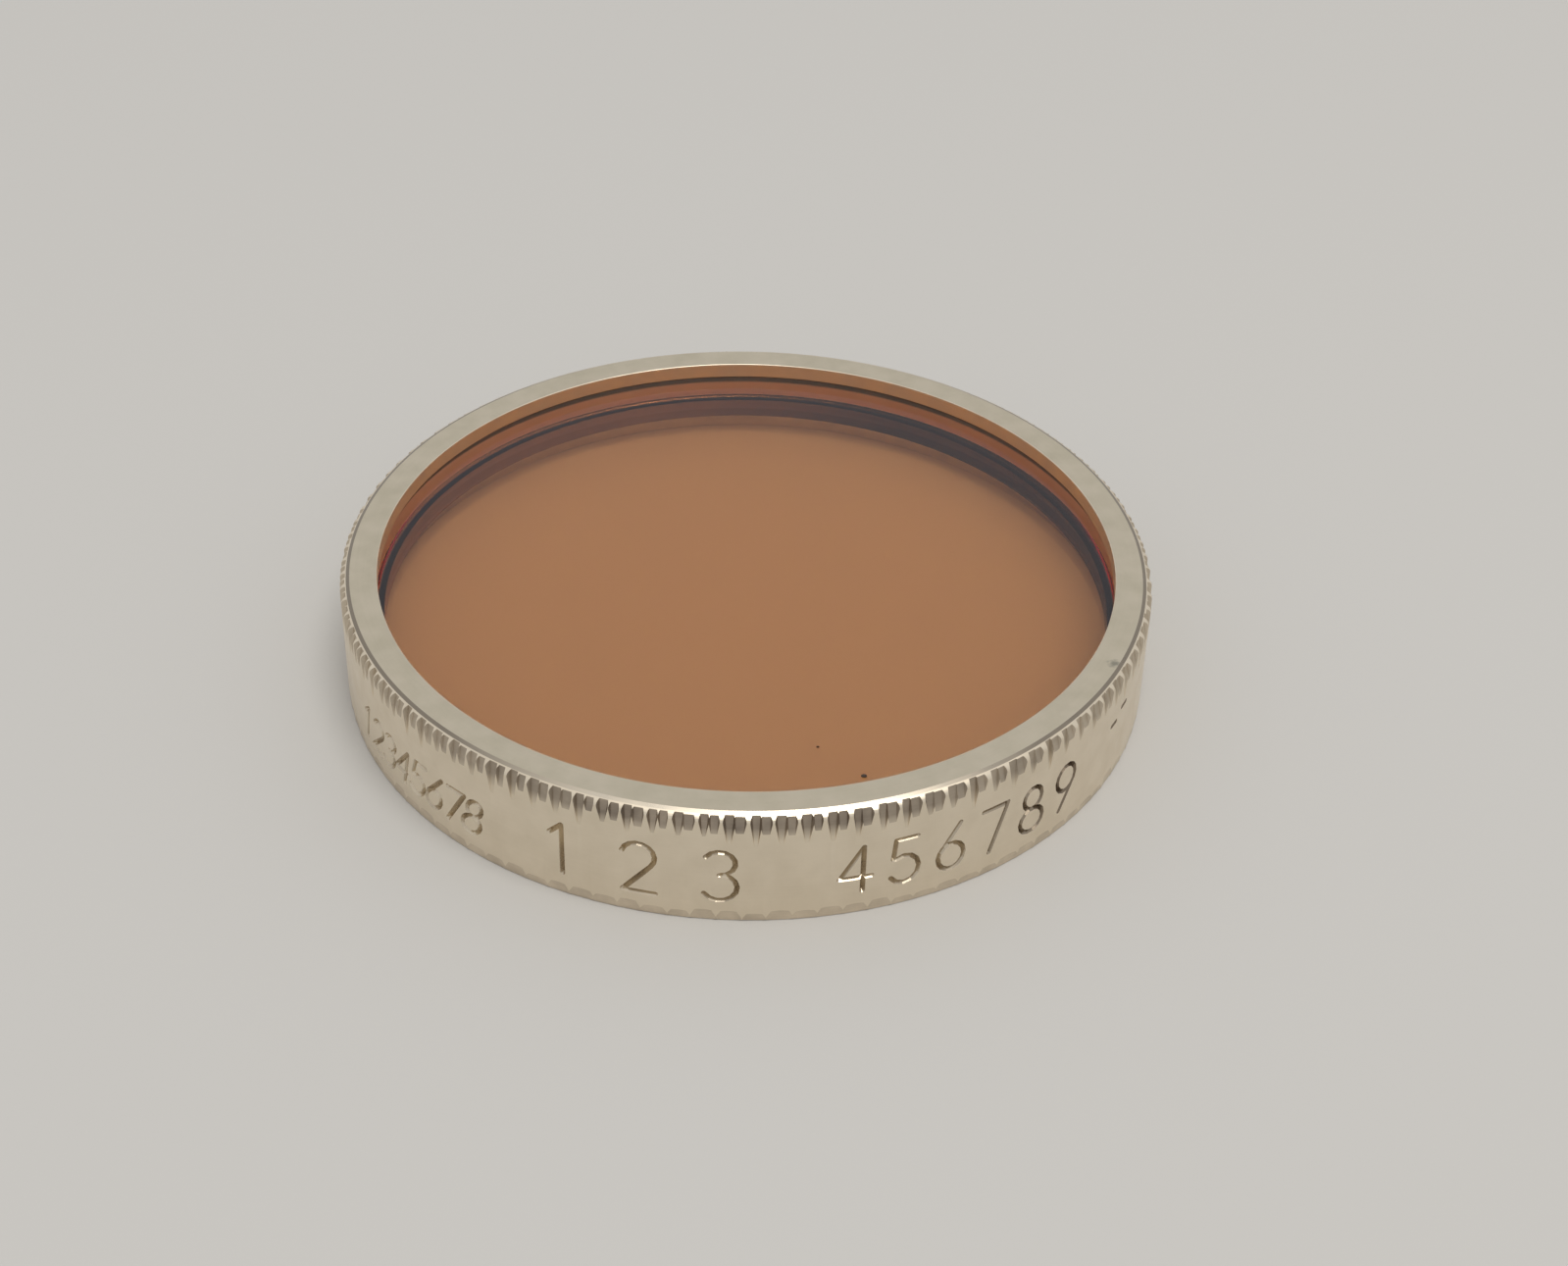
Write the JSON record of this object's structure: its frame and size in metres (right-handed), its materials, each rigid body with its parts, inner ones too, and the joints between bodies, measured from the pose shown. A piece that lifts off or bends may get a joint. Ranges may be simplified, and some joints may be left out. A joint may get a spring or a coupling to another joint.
{
  "type": "drop-in skylight filter",
  "caption": "Round tinted glass filter in a thin knurled metal rim, made to drop into the seat of a lens adapter.",
  "frame": {"origin": "centre of the back face of the rim, where the filter rests", "axes": "+Z along the optical axis, towards the front face with the lip"},
  "size_m": [0.0302, 0.0302, 0.0046],
  "materials": {
    "rim_metal": "nickel plated turned brass, satin and slightly worn, with a warm champagne tone",
    "tinted_glass": "polished glass with a salmon-amber tint",
    "spring_metal": "blackened spring steel, satin"
  },
  "bodies": {
    "root": {"filter_ring": "rim_metal", "filter_glass": "tinted_glass", "retaining_ring": "spring_metal"}
  },
  "joints": []
}
